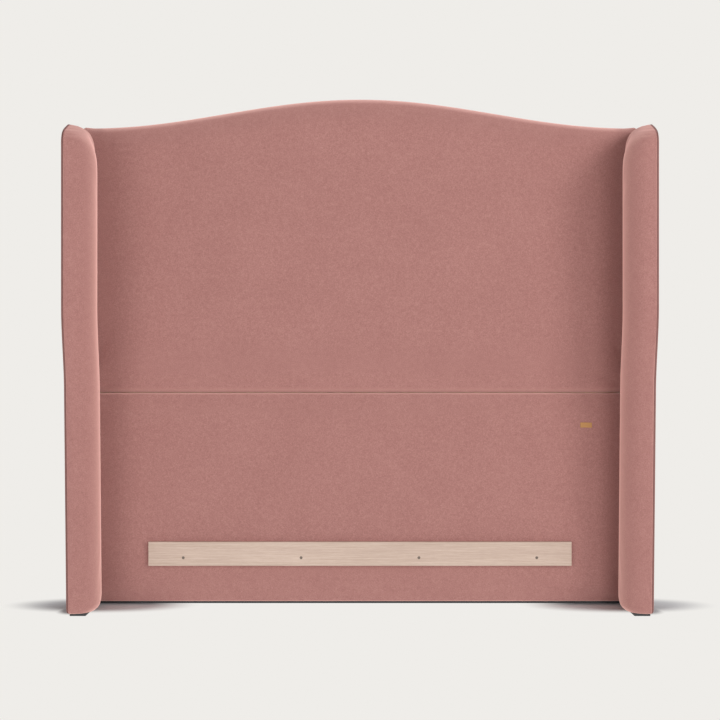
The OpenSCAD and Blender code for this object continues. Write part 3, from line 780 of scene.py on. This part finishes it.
light = {
    "world": 0.33,
    "backdrop": (0.863, 0.846, 0.815),
    "floorTone": 0.60,
    "innerShadow": (280 * mm, 130 * mm),   # reach of the floor's lit patch inside a wing
    "outerShadow": (50 * mm, 85 * mm),     # and outside it
    "front": {"place": (1.5, -6.1, 0.4), "aim": (0, 0, 0.45), "size": 2.6, "power": 213},
    "key": {"place": (3.0, -3.7, 2.3), "aim": (0, 0, 0.6), "size": 1.8, "power": 92},
    "fill": {"place": (-2.1, -4.2, 0.5), "aim": (0, 0, 0.4), "size": 2.2, "power": 80},
    "rim": {"place": (0.2, 1.6, 3.5), "aim": (0, 0, 1.0), "size": 2.0, "power": 52},
}


def makeStage():
    # A floor that takes light only beside the wings, where their shadows touch it: one elliptical
    # patch inside each wing and a narrower one outside. The rest is the backdrop's tone.
    f = Finish("floor")
    where = f.add("ShaderNodeTexCoord", output="Object")
    split = f.add("ShaderNodeSeparateXYZ", {}, {"Vector": where})
    x = f.pick("ABSOLUTE", split, 0.0)
    y = Signal(f, split.socket.node.outputs["Y"])
    innerX, outerX, back = float(wingLow[0] + 0.02), float(sideHigh[0]), float(faceY)
    inner = f.oval(innerX - x, back - y, *light["innerShadow"])
    outer = f.oval(outerX - x, back - 0.07 - y, *light["outerShadow"])
    lit = 1.0 - f.pick("MINIMUM", inner, outer)
    fade = f.step(lit, 0.0, 0.55)
    tone = light["floorTone"]
    f.shade(Base_Color=(tone * 0.96, tone, tone * 1.02, 1), Roughness=0.9, Specular_IOR_Level=0.0)
    glow = f.add("ShaderNodeEmission", {}, {"Color": (*light["backdrop"], 1), "Strength": 1.0})
    mixed = f.add("ShaderNodeMixShader", {}, {0: fade, 1: glow, 2: Signal(f, f.shader.outputs[0])})
    f.feed(f.tree.nodes["Material Output"].inputs["Surface"], mixed)
    size = np.linspace(-30, 30, 3)
    x, y = np.meshgrid(size, size)
    floor = sewGrids("floor", [np.stack([x, y, 0 * x - 0.1 * mm], -1)])
    floor.data.materials.append(f.material)
    world = bpy.data.worlds.new("studio")
    bpy.context.scene.world = world
    world.use_nodes = True
    tree = world.node_tree
    seen = tree.nodes.new("ShaderNodeBackground")
    seen.inputs[0].default_value = (*light["backdrop"], 1)
    tree.nodes["Background"].inputs[0].default_value = (1, 0.91, 0.9, 1)
    tree.nodes["Background"].inputs[1].default_value = light["world"]
    path = tree.nodes.new("ShaderNodeLightPath")
    mix = tree.nodes.new("ShaderNodeMixShader")
    tree.links.new(path.outputs["Is Camera Ray"], mix.inputs[0])
    tree.links.new(tree.nodes["Background"].outputs[0], mix.inputs[1])
    tree.links.new(seen.outputs[0], mix.inputs[2])
    tree.links.new(mix.outputs[0], tree.nodes["World Output"].inputs["Surface"])
    bpy.context.scene.view_settings.view_transform = "Standard"
    for name in ("front", "key", "fill", "rim"):
        addLamp(name, light[name])


def addLamp(name, lamp):
    data = bpy.data.lights.new(name, "AREA")
    data.shape = "DISK"
    data.size = lamp["size"]
    data.energy = lamp["power"]
    thing = bpy.data.objects.new(name, data)
    bpy.context.scene.collection.objects.link(thing)
    thing.location = lamp["place"]
    aim = Vector(lamp["aim"]) - Vector(lamp["place"])
    thing.rotation_euler = aim.to_track_quat("-Z", "Y").to_euler()


camera = {
    "place": (0, faceY - 3.756, 0.675),
    "lens": 68.15,
}


def addCamera():
    data = bpy.data.cameras.new("camera")
    data.lens = camera["lens"]
    data.clip_end = 200
    thing = bpy.data.objects.new("camera", data)
    bpy.context.scene.collection.objects.link(thing)
    thing.location = camera["place"]
    thing.rotation_euler = (math.pi / 2, 0, 0)
    bpy.context.scene.camera = thing


print("stage")
makeStage()
addCamera()
